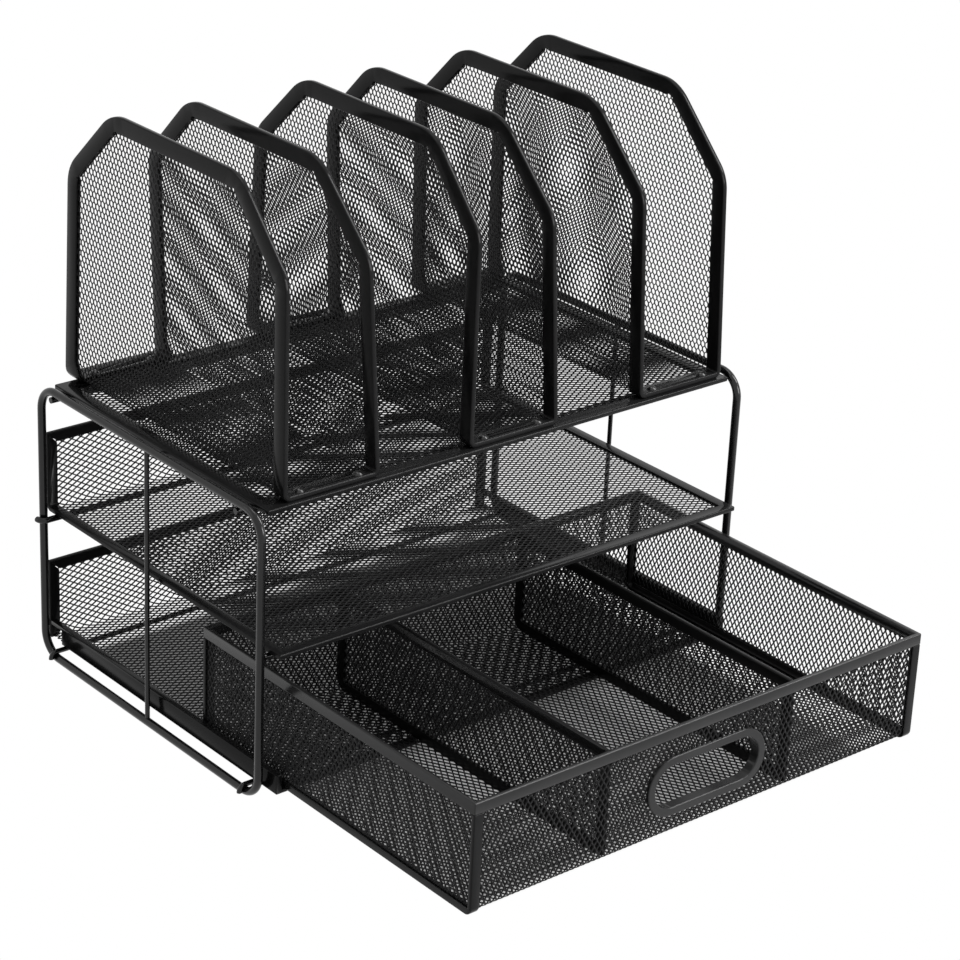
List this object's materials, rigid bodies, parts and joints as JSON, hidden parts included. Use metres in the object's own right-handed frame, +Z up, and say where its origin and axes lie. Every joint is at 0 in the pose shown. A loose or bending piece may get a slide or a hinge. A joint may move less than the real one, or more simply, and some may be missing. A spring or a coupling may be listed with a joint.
{
  "type": "desktop mesh envelope sorter with drawer",
  "caption": "Black steel mesh desk organizer: upright envelope sorter on a deck, a paper tray below it and a sliding divided drawer at the base.",
  "frame": {"origin": "on the floor, at the centre of the two side frames", "axes": "+X to the right seen from the front, -Y to the front where the drawer comes out, +Z up"},
  "size_m": [0.352, 0.384, 0.3346],
  "materials": {
    "coated_wire": "satin black powder coat",
    "coated_strip": "satin black powder coat",
    "coated_mesh": "satin black powder coat on expanded metal",
    "screw": "black screw"
  },
  "bodies": {
    "base": {"left_side_frame": "coated_wire", "right_side_frame": "coated_wire", "left_brace_wire": "coated_wire", "right_brace_wire": "coated_wire", "front_deck_cross_wire": "coated_wire", "rear_deck_cross_wire": "coated_wire", "front_middle_cross_wire": "coated_wire", "rear_middle_cross_wire": "coated_wire", "front_base_cross_wire": "coated_wire", "rear_base_cross_wire": "coated_wire", "deck_frame": "coated_strip", "deck_mesh": "coated_mesh", "sorter_strip_1": "coated_strip", "sorter_mesh_1": "coated_mesh", "sorter_strip_2": "coated_strip", "sorter_mesh_2": "coated_mesh", "sorter_strip_3": "coated_strip", "sorter_mesh_3": "coated_mesh", "sorter_screws": "screw", "sorter_nuts": "screw", "middle_tray_strip": "coated_strip", "middle_tray_mesh": "coated_mesh", "bottom_tray_rim": "coated_strip", "bottom_tray_back_frame": "coated_strip", "bottom_tray_mesh": "coated_mesh"},
    "drawer": {"drawer_rim": "coated_strip", "drawer_wrap_mesh": "coated_mesh", "drawer_left_wall_mesh": "coated_mesh", "drawer_right_wall_mesh": "coated_mesh", "drawer_left_side_strip": "coated_strip", "drawer_right_side_strip": "coated_strip", "drawer_handle_ring": "coated_strip", "drawer_left_divider_frame": "coated_strip", "drawer_left_divider_mesh": "coated_mesh", "drawer_right_divider_frame": "coated_strip", "drawer_right_divider_mesh": "coated_mesh"}
  },
  "joints": [
    {"name": "drawer_slide", "type": "slide", "parent": "base", "child": "drawer", "axis": [0, -1, 0], "range_m": [-0.1467, 0.035]}
  ]
}
